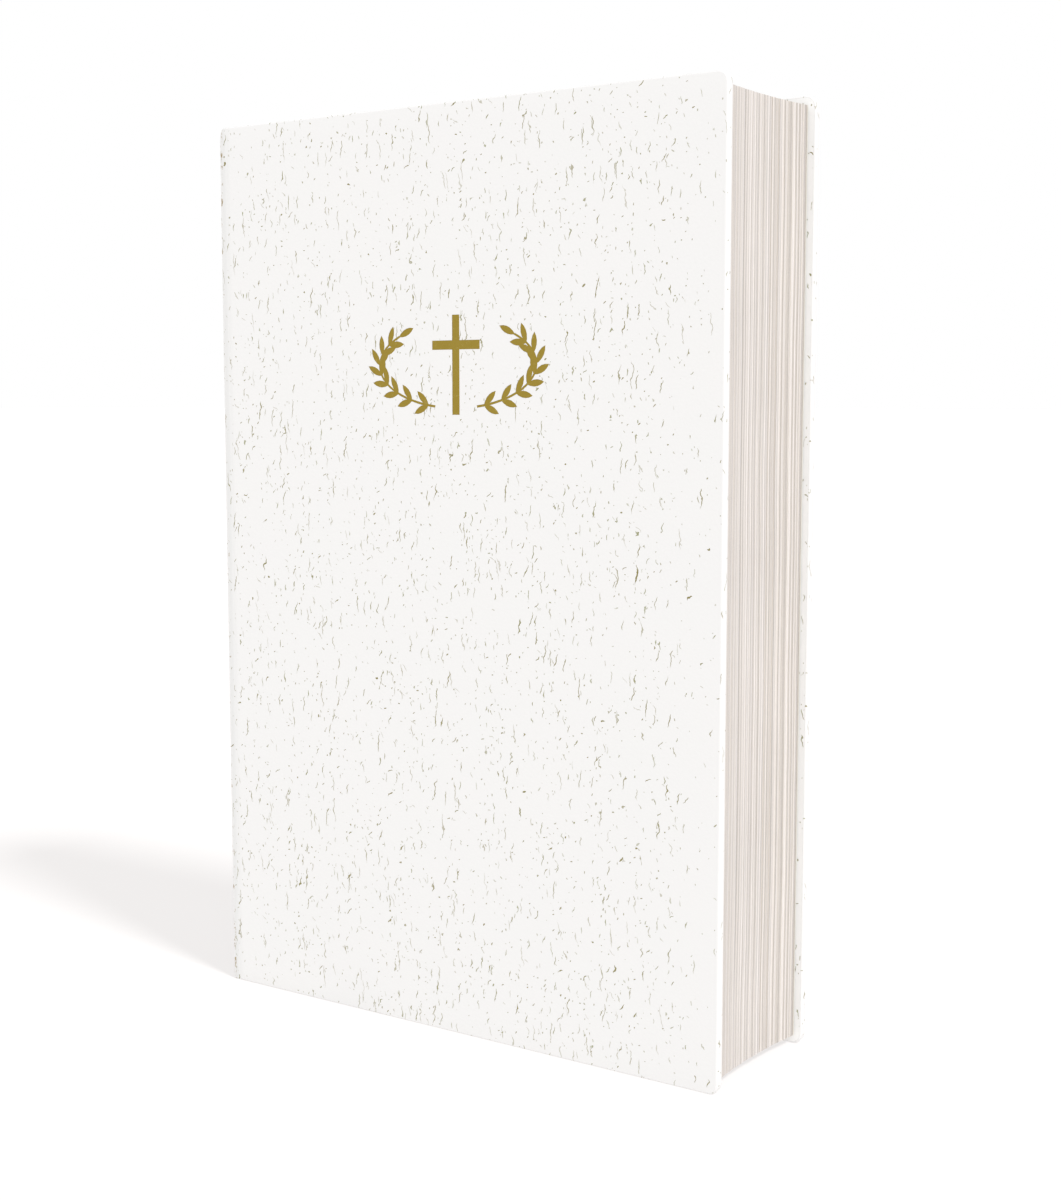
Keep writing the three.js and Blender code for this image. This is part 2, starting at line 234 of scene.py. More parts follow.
def cover_stations():
    """Across a cover, from the seam to the fore edge: core x, turn at the corner, crease and thickness."""
    near = [SEAM_X, *spread(JOINT_X - 0.8, JOINT_X + 0.8, 0.16), JOINT_X + 1.2, JOINT_X + 2]
    corner_x = FORE_X - CORNER_R
    far = spread(JOINT_X + 4, FORE_X - TURN_IN, 7) + spread(FORE_X - TURN_IN + 4, corner_x, 5)
    stations = []
    for x in near + far:
        crease = CREASE_DEPTH * math.exp(-(((x - JOINT_X) / CREASE_WIDTH) ** 2))
        rise = smooth((x - JOINT_X - 0.1) / 0.5)
        stations.append((x, 0.0, crease, JOINT_T + (COVER_T - JOINT_T) * rise + crease * 0.6))
    for turn in (15, 30, 45, 60, 75, 90):
        angle = math.radians(turn)
        stations.append((corner_x + (CORNER_R - EDGE_R) * math.sin(angle), angle, 0.0, COVER_T))
    return stations


def cover_columns():
    """Heights of the rows on a cover's faces, between its two end rows."""
    low = [4.5, 9.0, TURN_IN]
    high = [HEIGHT - z for z in reversed(low)]
    return low + spread(TURN_IN, HEIGHT - TURN_IN, 7)[1:-1] + high


def cover_ring(station, columns):
    """One station's closed ring: each point's place, and its place on the leatherette laid flat."""
    x, angle, crease, thick = station
    half = (thick - crease) / 2
    radius = min(EDGE_R, half - 0.03)
    drop = (CORNER_R - EDGE_R) * (1 - math.cos(angle))
    rows = [radius + drop, *columns, HEIGHT - radius - drop]
    arc = edge_arc(half, radius)
    outer_y = -HALF_T + crease
    across, up = math.sin(angle), math.cos(angle)

    def turned(end, sign, points):
        for depth, reach in points:
            flat = reach + depth
            place = (x + across * reach, outer_y + depth, end + sign * up * reach)
            yield place, (x + across * flat, end + sign * up * flat)

    ring = [((x, outer_y, z), (x, z)) for z in rows]
    ring += turned(rows[-1], 1, arc)
    ring += [((x, outer_y + 2 * half, z), (INSIDE_U - x, z)) for z in reversed(rows)]
    ring += turned(rows[0], -1, arc[::-1])
    return ring


def fore_edge(vertices, flat, last, rows):
    """Closes a cover's fore edge, between its last station's outer and inner rows."""
    arcs = len(ARC_TURNS)
    head, tail = last + rows, last + 2 * rows + arcs
    grid = []
    for row in range(rows):
        z = vertices[last + row][2]
        line = [last + row]
        for a in range(arcs):
            if row == rows - 1:
                line.append(head + a)
            elif row == 0:
                line.append(tail + arcs - 1 - a)
            else:
                x, y, _ = vertices[head + a]
                line.append(len(vertices))
                vertices.append((x, y, z))
                flat.append((flat[head + a][0], z))
        line.append(last + 2 * rows + arcs - 1 - row)
        grid.append(line)
    faces = []
    for low, high in zip(grid, grid[1:]):
        faces += [(low[a], low[a + 1], high[a + 1], high[a]) for a in range(arcs + 1)]
    return faces


def cover_surface():
    """The outside of a wrapped cover, open in the window inside its turn-ins and at the seam."""
    stations, columns = cover_stations(), cover_columns()
    rows, arcs = len(columns) + 2, len(ARC_TURNS)
    ring = 2 * (rows + arcs)
    inner = range(rows + arcs, 2 * rows + arcs - 1)
    vertices, flat, faces, uvs = [], [], [], []
    for station in stations:
        for place, uv in cover_ring(station, columns):
            vertices.append(place)
            flat.append(uv)

    def outer_uv(v):
        """Carries an inner vertex's u on from the outer side, for the faces round the turned edge."""
        u, z = flat[v]
        return (INSIDE_U - u if u > INSIDE_U / 2 else u, z)

    for i in range(len(stations) - 1):
        a, b = i * ring, (i + 1) * ring
        for j in range(ring):
            k = (j + 1) % ring
            face = [a + j, b + j, b + k, a + k]
            z = sum(vertices[v][2] for v in face) / 4
            window = stations[i + 1][0] < FORE_X - TURN_IN + 0.1 and TURN_IN < z < HEIGHT - TURN_IN
            if j in inner and window:
                continue
            faces.append(tuple(face))
            uvs.append([flat[v] if j in inner else outer_uv(v) for v in face])
    closing = fore_edge(vertices, flat, (len(stations) - 1) * ring, rows)
    faces += closing
    uvs += [[outer_uv(v) for v in face] for face in closing]
    return vertices, faces, uvs


def case_skin(side, material):
    """A cover's leatherette from the spine's seam, over the joint and round the board's edges."""
    vertices, faces, uvs = cover_surface()
    vertices, faces, uvs = mirrored(vertices, faces, uvs, SIDES[side])
    piece = mesh_piece(f"{side}_case_skin", vertices, faces, material, uvs)
    apply_modifier(piece, "SOLIDIFY", thickness=SKIN_T * MM, offset=-1, use_even_offset=True)
    return piece


def spine_outline():
    """Round the case spine, from the front seam to the back one: place, outward normal and length."""
    reach = ROUND_CENTRE_X - SPINE_X
    shoulder_y = -HALF_T + SHOULDER_R
    shoulder_x = ROUND_CENTRE_X - math.sqrt((reach - SHOULDER_R) ** 2 - shoulder_y**2)
    turn = math.atan2(-shoulder_y, ROUND_CENTRE_X - shoulder_x)
    points = [((x, -HALF_T), (0.0, -1.0)) for x in spread(shoulder_x, SEAM_X, 0.3)[:0:-1]]
    for i in range(9):
        angle = math.radians(-90) - (math.radians(90) - turn) * i / 8
        normal = (math.cos(angle), math.sin(angle))
        points.append(((shoulder_x + SHOULDER_R * normal[0], shoulder_y + SHOULDER_R * normal[1]), normal))
    for i in range(1, 15):
        angle = turn * (1 - i / 14)
        normal = (-math.cos(angle), -math.sin(angle))
        points.append(((ROUND_CENTRE_X + reach * normal[0], reach * normal[1]), normal))
    points += [((x, -y), (nx, -ny)) for (x, y), (nx, ny) in points[-2::-1]]
    lengths = [0.0]
    for (a, _), (b, _) in zip(points, points[1:]):
        lengths.append(lengths[-1] + math.dist(a, b))
    return [(place, normal, length) for (place, normal), length in zip(points, lengths)]


def cap_dip(run):
    """How far the spine's head is below the covers', a distance from the seam."""
    dip = CAP_DIP * smooth(run / CAP_RUN)
    return dip - (CAP_DIP - CAP_REST) * smooth((run - CAP_RUN) / CAP_RISE)


def spine_skin(material):
    """The leatherette round the spine, turned in over its head and tail."""
    outline = spine_outline()
    whole = outline[-1][2]
    columns = cover_columns()
    vertices, uv_of, faces = [], [], []
    for (px, py), (nx, ny), length in outline:
        run = min(length, whole - length)
        half = (JOINT_T + (SPINE_T - JOINT_T) * smooth(run / 3)) / 2
        radius = half - 0.03
        top = HEIGHT - cap_dip(run)
        rows = [radius, *columns, HEIGHT - radius]
        squeeze = (top - radius - HEIGHT / 2) / (HEIGHT - radius - HEIGHT / 2)
        rows = [z if z < HEIGHT / 2 else HEIGHT / 2 + (z - HEIGHT / 2) * squeeze for z in rows]
        lip = [4.5, 9.0, TURN_IN]
        arc = edge_arc(half, radius)
        u = SEAM_X - length
        strip = [(2 * half, z, -z) for z in reversed(lip)]
        strip += [(depth, rows[0] - reach, -depth) for depth, reach in arc[::-1]]
        strip += [(0.0, z, z) for z in rows]
        strip += [(depth, rows[-1] + reach, rows[-1] + reach + depth) for depth, reach in arc]
        strip += [(2 * half, top - z, HEIGHT + z) for z in lip]
        for depth, z, v in strip:
            vertices.append((px - nx * depth, py - ny * depth, z))
            uv_of.append((u, v))
    ring = len(vertices) // len(outline)
    for i in range(len(outline) - 1):
        a, b = i * ring, (i + 1) * ring
        faces += [(a + j, a + j + 1, b + j + 1, b + j) for j in range(ring - 1)]
    uvs = [[uv_of[v] for v in face] for face in faces]
    piece = mesh_piece("spine_skin", vertices, faces, material, uvs)
    apply_modifier(piece, "SOLIDIFY", thickness=SKIN_T * MM, offset=-1, use_even_offset=True)
    return piece


def stamp(skin, node, outward, depth):
    """Cuts a recess round a piece of foil: the foil's own outline, a little wider, from outside the skin."""
    bm = bmesh.new()
    bm.from_mesh(frame["nodes"][node].data)
    bmesh.ops.remove_doubles(bm, verts=bm.verts, dist=1e-6)
    bm.normal_update()
    outward = Vector(outward)
    middle = sum(v.co.dot(outward) for v in bm.verts) / len(bm.verts)
    places = []
    for v in bm.verts:
        flat = v.normal - outward * v.normal.dot(outward)
        away = MM if v.co.dot(outward) > middle else -depth * MM
        places.append(v.co + flat.normalized() * FOIL_GAP * MM + outward * away)
    mesh = bpy.data.meshes.new("cutter")
    mesh.from_pydata(places, [], [[v.index for v in f.verts] for f in bm.faces])
    bm.free()
    cutter = bpy.data.objects.new("cutter", mesh)
    bpy.context.scene.collection.objects.link(cutter)
    apply_modifier(skin, "BOOLEAN", operation="DIFFERENCE", solver="EXACT", object=cutter)
    bpy.data.objects.remove(cutter)


# ---- Sheets ----------------------------------------------------------------------------------------


def plate(xs, zs, surface, thick):
    """A closed thin sheet over a grid: surface(x, z) is its y on the pages' side, its back is outside it."""
    rows = len(zs)
    vertices = [(x, surface(x, z), z) for x in xs for z in zs]
    vertices += [(x, surface(x, z) - thick, z) for x in xs for z in zs]
    back = len(xs) * rows
    faces = []
    for i in range(len(xs) - 1):
        for k in range(rows - 1):
            a, b = i * rows + k, (i + 1) * rows + k
            faces.append((a, a + 1, b + 1, b))
            faces.append((back + a, back + b, back + b + 1, back + a + 1))
    for i in range(len(xs) - 1):
        for a, b in ((i * rows, (i + 1) * rows), ((i + 2) * rows - 1, (i + 1) * rows - 1)):
            faces.append((a, b, back + b, back + a))
    last = (len(xs) - 1) * rows
    for k in range(rows - 1):
        faces.append((k + 1, k, back + k, back + k + 1))
        faces.append((last + k, last + k + 1, back + last + k + 1, back + last + k))
    return vertices, faces


def pastedown(side, material):
    """The endpaper glued inside a cover, pressed down over the turn-ins' edge and the mull's."""
    flap_low, flap_high = box_mm("front_mull_flap")
    low, high = box_mm("front_pastedown")
    frame_y = high.y
    soft = 1.1

    def inside(value, edge):
        return smooth((edge - value) / soft + 0.5)

    def surface(x, z):
        window = inside(x, FORE_X - TURN_IN - soft)
        window *= inside(-z, -TURN_IN - soft) * inside(z, HEIGHT - TURN_IN - soft)
        flap = inside(x, flap_high.x) * inside(-z, -flap_low.z) * inside(z, flap_high.z)
        drop = window * (WINDOW_SINK - FLAP_RISE * flap)
        curl = smooth((JOINT_X + 0.9 - x) / 1.3)
        return (frame_y - drop) * (1 - curl) + (frame_y + 0.05) * curl

    def fine(middle):
        return [middle - soft + soft * i / 4 for i in range(9)]

    xs = [JOINT_X - 0.45, *spread(JOINT_X - 0.2, JOINT_X + 1.2, 0.2), *fine(flap_high.x)]
    xs += fine(FORE_X - TURN_IN - soft) + [high.x]
    xs += spread(JOINT_X + 4, flap_high.x - 3, 6) + spread(flap_high.x + 4, FORE_X - TURN_IN - 4, 8)
    zs = [low.z, high.z, *fine(TURN_IN + soft), *fine(HEIGHT - TURN_IN - soft)]
    zs += [z for edge in (flap_low.z, flap_high.z) for z in (edge - 0.4, edge + 0.4)]
    zs += spread(TURN_IN + 6, HEIGHT - TURN_IN - 6, 9)
    vertices, faces = plate(sorted(set(xs)), sorted(set(zs)), surface, PASTED_T)
    vertices, faces, _ = mirrored(vertices, faces, None, SIDES[side])
    return mesh_piece(f"{side}_pastedown_sheet", vertices, faces, material, sharp=60)


def flyleaf(side, material, rng):
    """The free endpaper, lying not quite flat between the cover and the first signature."""
    low, high = box_mm("front_flyleaf")
    phase = rng.uniform(0, math.tau)

    def surface(x, z):
        reach = smooth((x - low.x) / (high.x - low.x))
        return high.y - 0.02 + 0.02 * reach * math.sin(z / 34 + phase)

    xs, zs = spread(low.x, high.x, 12), spread(low.z, high.z, 12)
    vertices, faces = plate(xs, zs, surface, FLYLEAF_T)
    vertices, faces, _ = mirrored(vertices, faces, None, SIDES[side])
    return mesh_piece(f"{side}_flyleaf_sheet", vertices, faces, material, sharp=60)


def folded_sheet(rng, fold_x, y, radius, tip_x):
    """One folded sheet of a signature, as a closed body, and which of its faces are trimmed edges."""
    half = LEAF_T / 2
    centre_x = fold_x + PITCH / 2
    steps = 5
    low = BLOCK_LOW + rng.uniform(0, TRIM_ERROR)
    high = BLOCK_HIGH - rng.uniform(0, TRIM_ERROR)
    tips = [tip_x - abs(rng.gauss(0, TRIM_ERROR)) for _ in range(2)]

    def path(r):
        points = [(tips[0], y - r)]
        for i in range(steps + 1):
            angle = -math.pi / 2 - math.pi * i / steps
            points.append((centre_x + r * math.cos(angle), y + r * math.sin(angle)))
        return [*points, (tips[1], y + r)]

    outer, inner = path(radius + half), path(max(radius - half, 0.004))
    count = len(outer)
    up = 2 * count
    vertices = [(x, py, z) for z in (low, high) for x, py in outer + inner]
    leaves, edges = [], []
    for i in range(count - 1):
        a, b = count + i, count + i + 1
        leaves += [(i + 1, i, up + i, up + i + 1), (a, b, up + b, up + a)]
        edges += [(i, i + 1, b, a), (up + i + 1, up + i, up + a, up + b)]
    edges += [(0, count, up + count, up), (up - 1, count - 1, up + count - 1, 2 * up - 1)]
    return vertices, leaves, edges


def signature(index, material, rng):
    """A sewn signature: folded sheets, one inside the other, with their edges trimmed all but flush."""
    node = SIGNATURE_NODES[index]
    low, high = box_mm(node)
    y = (low.y + high.y) / 2
    tip_x = high.x - rng.uniform(0, SIGNATURE_ERROR)
    vertices, faces, tints, trimmed = [], [], [], []
    gap = (high.y - low.y) / 2 / SHEETS
    for sheet in range(SHEETS):
        radius = (SHEETS - sheet - 0.5) * gap
        more, leaves, edges = folded_sheet(rng, low.x, y, radius, tip_x)
        first = len(vertices)
        vertices += more
        faces += [tuple(first + v for v in quad) for quad in leaves + edges]
        trimmed += [0.0] * len(leaves) + [1.0] * len(edges)
        tints += [rng.random()] * len(more)
    piece = mesh_piece(node + "_sheets", vertices, faces, material)
    for name, domain, values in (("tint", "POINT", tints), ("trimmed", "FACE", trimmed)):
        piece.data.attributes.new(name, "FLOAT", domain).data.foreach_set("value", values)
    return piece


# ---- Linings, threads and endbands on the block's back ---------------------------------------------


def back_strip(name, layer, low, high, material, side, width=None):
    """Half of a lining on the block's back, from the middle to one side; high may change with y."""
    inner, outer = layer
    reach = BLOCK_HALF if width is None else width
    ys = [-y for y in spread(0, reach, 0.75)]
    top = high if callable(high) else lambda _: high
    vertices, faces = [], []
    for y in ys:
        for outside in (outer, inner):
            vertices += [(round_x(y, outside), y, z) for z in (low, top(y))]
    for i in range(len(ys) - 1):
        a, b = 4 * i, 4 * (i + 1)
        for j, k in ((0, 1), (1, 3), (3, 2), (2, 0)):
            faces.append((a + j, a + k, b + k, b + j))
    last = 4 * (len(ys) - 1)
    faces += [(0, 2, 3, 1), (last, last + 1, last + 3, last + 2)]
    vertices, faces, _ = mirrored(vertices, faces, None, SIDES[side])
    return mesh_piece(f"{name}_{side}_half", vertices, faces, material)


def tube(points, radii, sides=10):
    """A closed tube along points that run mainly in Y."""
    vertices, faces = [], []
    for (x, y, z), radius in zip(points, radii):
        for j in range(sides):
            angle = math.tau * j / sides
            vertices.append((x + radius * math.cos(angle), y, z + radius * math.sin(angle)))
    for i in range(len(points) - 1):
        for j in range(sides):
            a, b = i * sides, (i + 1) * sides
            k = (j + 1) % sides
            faces.append((a + j, a + k, b + k, b + j))
    faces.append(tuple(range(sides))[::-1])
    last = len(vertices) - sides
    faces.append(tuple(range(last, last + sides)))
    return vertices, faces


def endband(node, side, material):
    """Half of an endband's bead, with the turns of its wrapped thread."""
    low, high = box_mm(node)
    at_head = low.z > HEIGHT / 2
    z = high.z - 0.65 if at_head else low.z + 0.65
    ys = spread(0, BLOCK_HALF - 0.1, BEAD_TURN / 4)
    points, radii = [], []
    for i, y in enumerate(ys):
        points.append((round_x(y, -0.3), -y, z))
        end = smooth((BLOCK_HALF - y) / 0.35)
        radii.append((BEAD_R + 0.08 * abs(math.sin(math.pi * i / 4))) * (0.35 + 0.65 * end))
    vertices, faces = tube(points, radii)
    vertices = vertices[::-1]
    count = len(vertices) - 1
    faces = [tuple(count - v for v in face)[::-1] for face in faces]
    vertices, faces, _ = mirrored(vertices, faces, None, SIDES[side])
    return mesh_piece(f"{node}_{side}_half", vertices, faces, material)


def sewing_threads(side, material):
    """Half of every sewing station's thread, dipping towards each signature's fold."""
    vertices, faces = [], []
    for node in sorted(n for n in frame["nodes"] if n.startswith("sewing_thread_")):
        low, high = box_mm(node)
        z = (low.z + high.z) / 2
        ys = spread(0, BLOCK_HALF - 0.3, PITCH / 6)
        points = [(round_x(y, 0.2 + 0.05 * math.cos(math.tau * y / PITCH)), -y, z) for y in ys]
        more, quads = tube(points, [THREAD_R] * len(points), 6)
        first = len(vertices)
        vertices += more
        faces += [tuple(first + v for v in quad) for quad in quads]
    vertices, faces, _ = mirrored(vertices, faces, None, SIDES[side])
    return mesh_piece(f"sewing_threads_{side}_half", vertices, faces, material)


# ---- Materials -------------------------------------------------------------------------------------


class Shader:
    """A node material with a Principled surface."""

    def __init__(self, name, **constants):
        self.material = bpy.data.materials.new(name)
        self.material.use_nodes = True
        self.tree = self.material.node_tree
        self.surface = self.tree.nodes["Principled BSDF"]
        for socket, value in constants.items():
            self.surface.inputs[socket.replace("_", " ").title()].default_value = value

    def node(self, kind, inputs=(), **settings):
        made = self.tree.nodes.new("ShaderNode" + kind)
        for key, value in settings.items():
            setattr(made, key, value)
        for socket, value in dict(inputs).items():
            self.feed(made.inputs[socket], value)
        return made

    def feed(self, socket, value):
        if isinstance(value, bpy.types.NodeSocket):
            self.tree.links.new(value, socket)
        else:
            socket.default_value = value

    def math(self, operation, a, b=0.0, clamp=False):
        return self.node("Math", {0: a, 1: b}, operation=operation, use_clamp=clamp).outputs[0]

    def vector(self, operation, a, b):
        return self.node("VectorMath", {0: a, 1: b}, operation=operation).outputs[0]

    def mix(self, factor, a, b):
        made = self.node("Mix", data_type="RGBA")
        for socket, value in ((0, factor), (6, a), (7, b)):
            self.feed(made.inputs[socket], value)
        return made.outputs[2]

    def noise(self, vector, scale, detail=2.0, roughness=0.5):
        inputs = {"Vector": vector, "Scale": scale, "Detail": detail, "Roughness": roughness}
        return self.node("TexNoise", inputs).outputs["Fac"]

    def span(self, value, low, high, start=0.0, end=1.0):
        inputs = {"Value": value, 1: low, 2: high, 3: start, 4: end}
        return self.node("MapRange", inputs, clamp=True).outputs[0]

    def millimetres(self):
        """The object's own coordinates in millimetres."""
        own = self.node("TexCoord").outputs["Object"]
        return self.vector("MULTIPLY", own, (1000, 1000, 1000))

    def bump(self, height, distance_mm, strength=1.0, after=None):
        inputs = {"Height": height, "Distance": distance_mm * MM, "Strength": strength}
        if after is not None:
            inputs["Normal"] = after
        return self.node("Bump", inputs).outputs[0]

    def set(self, **links):
        for socket, value in links.items():
            self.feed(self.surface.inputs[socket.replace("_", " ").title()], value)
        return self.material


def rgb(red, green, blue):
    """A linear colour from sRGB numbers out of 255."""

    def linear(c):
        c /= 255
        return c / 12.92 if c <= 0.04045 else ((c + 0.055) / 1.055) ** 2.4

    return linear(red), linear(green), linear(blue), 1.0


def strokes(shader, place, cell, reach, width, tilt, share, seed):
    """Scattered hairline cracks, one to a cell at most: how strongly each point is in one, and a chance."""
    size = (*cell, 1.0)
    scaled = shader.vector("DIVIDE", place, size)
    scaled = shader.vector("ADD", scaled, (seed * 7.3, seed * 3.1, 0))
    cells = shader.node("TexVoronoi", {"Vector": scaled, "Scale": 1.0}, voronoi_dimensions="2D")
    local = shader.vector("SUBTRACT", scaled, cells.outputs["Position"])
    local = shader.vector("MULTIPLY", local, size)
    chance = shader.node("SeparateColor", {0: cells.outputs["Color"]}).outputs
    turn = shader.span(chance[0], 0, 1, -math.radians(tilt), math.radians(tilt))
    spun = shader.node("VectorRotate", {"Vector": local, "Angle": turn}, rotation_type="Z_AXIS")
    axes = shader.node("SeparateXYZ", {0: spun.outputs[0]}).outputs
    length = shader.span(chance[1], 0, 1, reach * 0.3, reach)
    along = shader.math("DIVIDE", shader.math("ABSOLUTE", axes[1]), length)
    taper = shader.math("SUBTRACT", 1.0, shader.math("POWER", along, 3.0), clamp=True)
    wide = shader.math("MULTIPLY", taper, width)
    inside = shader.math("SUBTRACT", wide, shader.math("ABSOLUTE", axes[0]))
    inside = shader.math("DIVIDE", inside, 0.03, clamp=True)
    present = shader.math("LESS_THAN", chance[2], share)
    strength = shader.span(chance[0], 0, 1, 0.35, 1.0)
    return shader.math("MULTIPLY", shader.math("MULTIPLY", inside, present), strength), chance[1]


def leatherette_material():
    """White coated leatherette: soft grain, a print of fine broken gold-olive cracks, painted light on the covers'
    inner faces and painted shade along the joints.
    """
    shader = Shader("white_crackle_leatherette", roughness=0.5)
    shader.surface.inputs["Specular IOR Level"].default_value = 0.35
    place = shader.node("UVMap", uv_map="Skin").outputs[0]
    wander = shader.node("TexNoise", {"Vector": place, "Scale": 0.5, "Detail": 2.0}).outputs["Color"]
    wander = shader.vector("SUBTRACT", wander, (0.5, 0.5, 0.5))
    bent = shader.vector("ADD", place, shader.vector("MULTIPLY", wander, (2.0, 2.0, 0)))
    clusters = shader.noise(shader.vector("MULTIPLY", place, (1.0, 0.45, 1)), 0.11, 2.0)
    density = shader.span(clusters, 0.36, 0.62, 0.4, 1.0)
    flat = shader.node("SeparateXYZ", {0: place}).outputs
    inside = shader.math("GREATER_THAN", flat[0], INSIDE_U / 2)
    edge = shader.span(flat[0], FORE_X - 14, FORE_X - 4, 1.0, 0.35)
    density = shader.math("MULTIPLY", density, shader.math("MAXIMUM", edge, inside))
    cloud = shader.noise(place, 0.05, 3.0)
    colour = shader.mix(cloud, rgb(233, 233, 232), rgb(235, 234, 233))
    # Painted light: the covers' inner faces are a lighter copy of the leatherette, against the shade they get
    # beside the pages.
    colour = shader.mix(inside, colour, rgb(250, 250, 249))
    # Painted shade along the joints, and real rubs through to gold near the head and tail.
    colour = joint_shade_and_wear(shader, flat, colour)
    cracks = 0.0
    for seed, (cell, reach, width, tilt, share) in enumerate(CRACK_LAYERS):
        share = shader.math("MULTIPLY", density, share)
        mask, chance = strokes(shader, bent, cell, reach, width, tilt, share, seed)
        gold = shader.mix(chance, rgb(150, 153, 112), rgb(128, 116, 45))
        colour = shader.mix(mask, colour, gold)
        cracks = shader.math("MAXIMUM", cracks, mask)
    grain = shader.node("TexVoronoi", {"Vector": place, "Scale": 1.7}, feature="SMOOTH_F1")
    fine = shader.noise(place, 5.0, 2.0)
    relief = shader.math("ADD", grain.outputs["Distance"], shader.math("MULTIPLY", fine, 0.4))
    normal = shader.bump(relief, 0.02)
    normal = shader.bump(shader.math("SUBTRACT", 1.0, cracks), 0.06, 0.7, normal)
    rough = shader.span(fine, 0.3, 0.7, 0.45, 0.56)
    return shader.set(base_color=colour, roughness=rough, normal=normal)


def joint_shade_and_wear(shader, flat, colour):
    """The leatherette's joints: painted shade, a greyer band along each joint and spine shoulder where the surface
    turns away from the light, and rubbed through to gold near the head and tail.
    """
    length = spine_outline()[-1][2]
    aside = shader.math("ABSOLUTE", shader.math("SUBTRACT", flat[0], SEAM_X - length / 2))
    past = shader.math("SUBTRACT", aside, length / 2)
    # Painted shade: the band round each joint and spine shoulder is greyer, where the surface turns away from the
    # light.
    painted_joint_shade = shader.span(shader.math("ABSOLUTE", shader.math("SUBTRACT", past, 0.1)), 1.25, 0.3)
    colour = shader.mix(painted_joint_shade, colour, rgb(225, 225, 224))
    narrow = shader.span(shader.math("ABSOLUTE", shader.math("ADD", past, SHOULDER_RUN)), 0.6, 0.25)
    ends = shader.math("ABSOLUTE", shader.math("SUBTRACT", flat[1], HEIGHT / 2))
    lowest = shader.span(ends, HEIGHT * 0.3, HEIGHT * 0.47, 0.62, 0.52)
    along = shader.node("CombineXYZ", {0: shader.math("MULTIPLY", aside, 1.5), 1: flat[1]}).outputs[0]
    rubs = shader.math("SUBTRACT", shader.noise(along, 0.35, 3.0, 0.7), lowest)
    rubbed = shader.math("MULTIPLY", narrow, shader.span(rubs, 0.0, 0.05, 0.0, 0.9))
    return shader.mix(rubbed, colour, rgb(146, 120, 62))


def page_material():
    """Thin cream paper: trimmed edges with fine dark and pale leaf lines and painted shade between the leaves,
    darker towards the front and along the last leaf, and faces greyed by small print.
    """
    shader = Shader("bible_paper", roughness=0.85)
    shader.surface.inputs["Specular IOR Level"].default_value = 0.2
    place = shader.millimetres()
    axes = shader.node("SeparateXYZ", {0: place}).outputs
    tint = shader.node("Attribute", attribute_name="tint").outputs["Fac"]
    trimmed = shader.node("Attribute", attribute_name="trimmed").outputs["Fac"]
    drift = shader.noise(shader.vector("MULTIPLY", place, (0.02, 0.05, 0.02)), 1.0, 1.0)
    across = shader.math("ADD", axes[1], shader.math("MULTIPLY", drift, 1.6))
    contrast = shader.span(axes[1], -BLOCK_HALF, BLOCK_HALF, 0.25, 1.15)

    def bands(width, seed, uneven):
        """Bands down the block: a number from -0.5 to 0.5 for each, and the distance from its middle."""
        inputs = {"W": shader.math("ADD", across, seed), "Scale": 1 / width, "Randomness": uneven}
        cells = shader.node("TexVoronoi", inputs, voronoi_dimensions="1D")
        chance = shader.node("SeparateColor", {0: cells.outputs["Color"]}).outputs[0]
        return shader.math("SUBTRACT", chance, 0.5), cells.outputs["Distance"]

    leaves, _ = bands(LEAF_BAND, 60.0, 1.0)
    # Painted shade: each ridge band is lighter in its middle and darker at its sides, deeper at random, for the
    # notches between groups of leaves.
    depths, off = bands(RIDGE_BAND, 100.0, 0.6)
    wave = shader.math("MULTIPLY", shader.math("SUBTRACT", off, 0.25), -1.9)
    wave = shader.math("MULTIPLY", wave, shader.math("ADD", depths, 1.0))
    tone = shader.math("ADD", shader.math("MULTIPLY", leaves, 0.75), wave)
    tone = shader.math("MULTIPLY", tone, contrast)
    tone = shader.math("ADD", tone, shader.math("MULTIPLY", shader.math("SUBTRACT", tint, 0.5), 0.3))
    cloud = shader.math("SUBTRACT", shader.noise(place, 0.03, 2.0), 0.5)
    tone = shader.math("ADD", tone, shader.math("MULTIPLY", cloud, 0.3))
    # Painted shade: the edge is darker towards the front of the block, where the fill light falls more.
    level = shader.span(axes[1], -BLOCK_HALF, BLOCK_HALF, 0.43, 0.5)
    tone = shader.math("ADD", tone, level, clamp=True)
    # The trimmed edges are darker than the leaves' faces: partly the edges' rougher tone, partly painted shade in
    # the gaps between leaves.
    base = shader.mix(tone, rgb(176, 171, 168), rgb(246, 241, 239))
    # Painted shadow: a dark line along the last leaf, in the gap between the block and the back cover.
    last = shader.span(axes[1], BLOCK_HALF - 0.3, BLOCK_HALF - 0.15)
    base = shader.mix(last, base, rgb(150, 138, 132))

    leaf = shader.mix(shader.noise(place, 0.4, 3.0), rgb(236, 229, 220), rgb(241, 235, 227))
    print_share = printed_columns(shader, axes)
    leaf = shader.mix(shader.math("MULTIPLY", print_share, 0.5), leaf, rgb(120, 114, 110))
    colour = shader.mix(trimmed, leaf, base)
    pulp = shader.noise(place, 4.0, 3.0)
    return shader.set(base_color=colour, normal=shader.bump(pulp, 0.01, 0.5))


